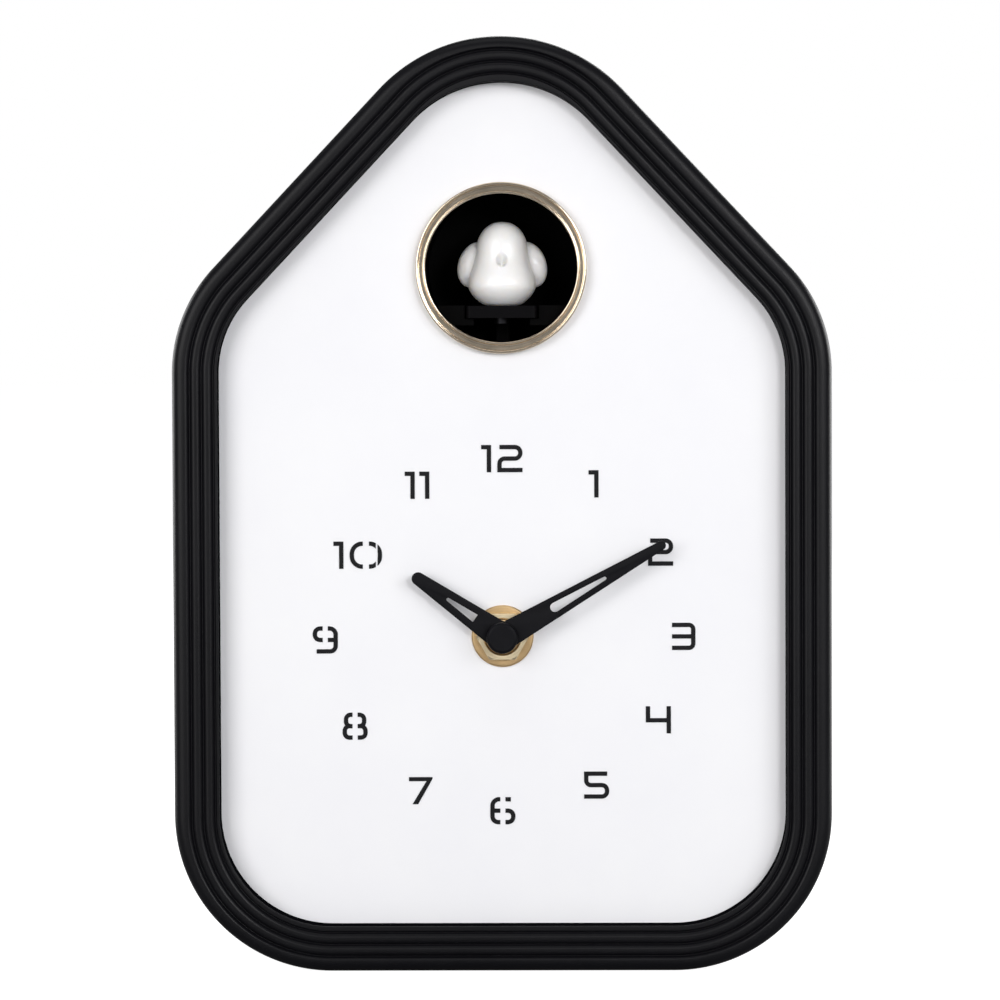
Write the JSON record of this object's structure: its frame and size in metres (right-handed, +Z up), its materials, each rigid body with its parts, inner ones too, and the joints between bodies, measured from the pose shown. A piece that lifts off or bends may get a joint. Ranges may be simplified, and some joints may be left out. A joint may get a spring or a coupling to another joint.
{
  "type": "cuckoo clock",
  "caption": "House-shaped quartz cuckoo clock with a grooved black frame, white dial, slotted hands and a white bird in a gold-rimmed porthole.",
  "frame": {"origin": "middle of the footprint that the clock stands on, at the lowest face", "axes": "+Z up, the dial faces -Y, +X to the right of the dial as it is read"},
  "size_m": [0.1516, 0.06, 0.215],
  "materials": {
    "case_black": "matt black ABS with a fine moulded grain",
    "dial_white": "satin white painted sheet",
    "figure_black": "printed black ink",
    "champagne_gold": "polished pale gold plating",
    "chamber_black": "gloss black",
    "bird_white": "gloss white",
    "hand_black": "matt black lacquer",
    "brass": "turned brass",
    "steel": "bright steel",
    "plated_steel": "nickel plated",
    "inner_black": "moulded black plastic",
    "gear_natural": "natural white acetal",
    "magnet_dark": "sintered magnet",
    "copper": "enamelled copper wire",
    "board_green": "circuit board with solder mask",
    "cone_paper": "black pressed paper",
    "foam": "closed-cell foam",
    "battery_sleeve": "plain shrink sleeve"
  },
  "bodies": {
    "case": {"front_frame": "case_black", "dial_panel": "dial_white", "dial_numerals": "figure_black", "dial_screws": "plated_steel", "porthole_ring": "champagne_gold", "bird_chamber": "chamber_black", "cuckoo_motor": "steel", "drive_axle": "steel", "mechanism_bracket": "inner_black", "movement_housing": "inner_black", "movement_bridge": "inner_black", "movement_cover": "inner_black", "threaded_bushing": "brass", "dial_washer": "brass", "hex_nut": "brass", "stator": "steel", "coil_core": "steel", "coil_bobbin": "inner_black", "coil_winding": "copper", "movement_board": "board_green", "quartz_crystal": "steel", "main_board": "board_green", "board_components": "inner_black", "board_posts": "inner_black", "switch_body": "inner_black", "button_switch": "inner_black", "speaker_frame": "plated_steel", "speaker_magnet": "magnet_dark", "speaker_cone": "cone_paper", "speaker_gasket": "foam", "battery_tray": "inner_black", "batteries": "battery_sleeve", "battery_contacts": "plated_steel", "battery_springs": "plated_steel", "back_cover": "case_black", "cover_screws": "plated_steel"},
    "bird": {"bird_carriage": "chamber_black", "bird_body": "bird_white", "left_wing": "bird_white", "right_wing": "bird_white", "bird_screw": "plated_steel"},
    "bird_drive": {"drive_gear": "gear_natural"},
    "bird_motor": {"motor_pinion": "gear_natural", "motor_shaft": "steel"},
    "minute": {"minute_hand": "hand_black", "centre_cap": "hand_black", "centre_arbor": "brass", "drive_wheel": "gear_natural"},
    "hour": {"hour_hand": "hand_black", "hour_wheel": "gear_natural"},
    "intermediate": {"intermediate_wheel": "gear_natural"},
    "step": {"step_wheel": "gear_natural"},
    "rotor": {"rotor_pinion": "gear_natural", "rotor_magnet": "magnet_dark"},
    "knob": {"setting_knob": "case_black"},
    "switch": {"switch_lever": "case_black"},
    "button": {"test_button": "case_black"},
    "door": {"battery_door": "case_black"}
  },
  "joints": [
    {"name": "minute_turn", "type": "hinge", "parent": "case", "child": "minute", "pos_m": [0, -0.022, 0.0771], "axis": [0, 1, 0], "continuous": true},
    {"name": "hour_turn", "type": "hinge", "parent": "case", "child": "hour", "pos_m": [0, -0.022, 0.0771], "axis": [0, 1, 0], "continuous": true},
    {"name": "intermediate_turn", "type": "hinge", "parent": "case", "child": "intermediate", "pos_m": [0, -0.016, 0.0699], "axis": [0, 1, 0], "continuous": true},
    {"name": "knob_turn", "type": "hinge", "parent": "case", "child": "knob", "pos_m": [0, 0.025, 0.0627], "axis": [0, 1, 0], "continuous": true},
    {"name": "step_wheel_turn", "type": "hinge", "parent": "case", "child": "step", "pos_m": [0.0097, -0.012, 0.0827], "axis": [0, 1, 0], "continuous": true},
    {"name": "rotor_turn", "type": "hinge", "parent": "case", "child": "rotor", "pos_m": [0.01137, -0.01, 0.09215], "axis": [0, 1, 0], "continuous": true},
    {"name": "bird_slide", "type": "slide", "parent": "case", "child": "bird", "axis": [0, -1, 0], "range_m": [0, 0.018]},
    {"name": "drive_gear_turn", "type": "hinge", "parent": "case", "child": "bird_drive", "pos_m": [0, 0.003, 0.1305], "axis": [1, 0, 0], "range_deg": [0, 161.2]},
    {"name": "motor_turn", "type": "hinge", "parent": "case", "child": "bird_motor", "pos_m": [0, 0.0152, 0.12779], "axis": [1, 0, 0], "range_deg": [-644.7, 0]},
    {"name": "volume_slide", "type": "slide", "parent": "case", "child": "switch", "axis": [1, 0, 0], "range_m": [-0.003, 0.003]},
    {"name": "test_press", "type": "slide", "parent": "case", "child": "button", "axis": [0, -1, 0], "range_m": [0, 0.001], "stiffness_N_per_m": 600, "springref_m": -0.0005},
    {"name": "battery_door_swing", "type": "hinge", "parent": "case", "child": "door", "pos_m": [0, 0.03, 0.0133], "axis": [-1, 0, 0], "range_deg": [0, 75]}
  ],
  "couplings": [
    {"joint": "hour_turn", "follows": "minute_turn", "ratio": 0.083333},
    {"joint": "intermediate_turn", "follows": "minute_turn", "ratio": -0.33333},
    {"joint": "knob_turn", "follows": "minute_turn", "ratio": 1},
    {"joint": "step_wheel_turn", "follows": "minute_turn", "ratio": -6},
    {"joint": "rotor_turn", "follows": "minute_turn", "ratio": 30},
    {"joint": "drive_gear_turn", "follows": "bird_slide", "rad_per_m": 156.25},
    {"joint": "motor_turn", "follows": "bird_slide", "rad_per_m": -625}
  ]
}
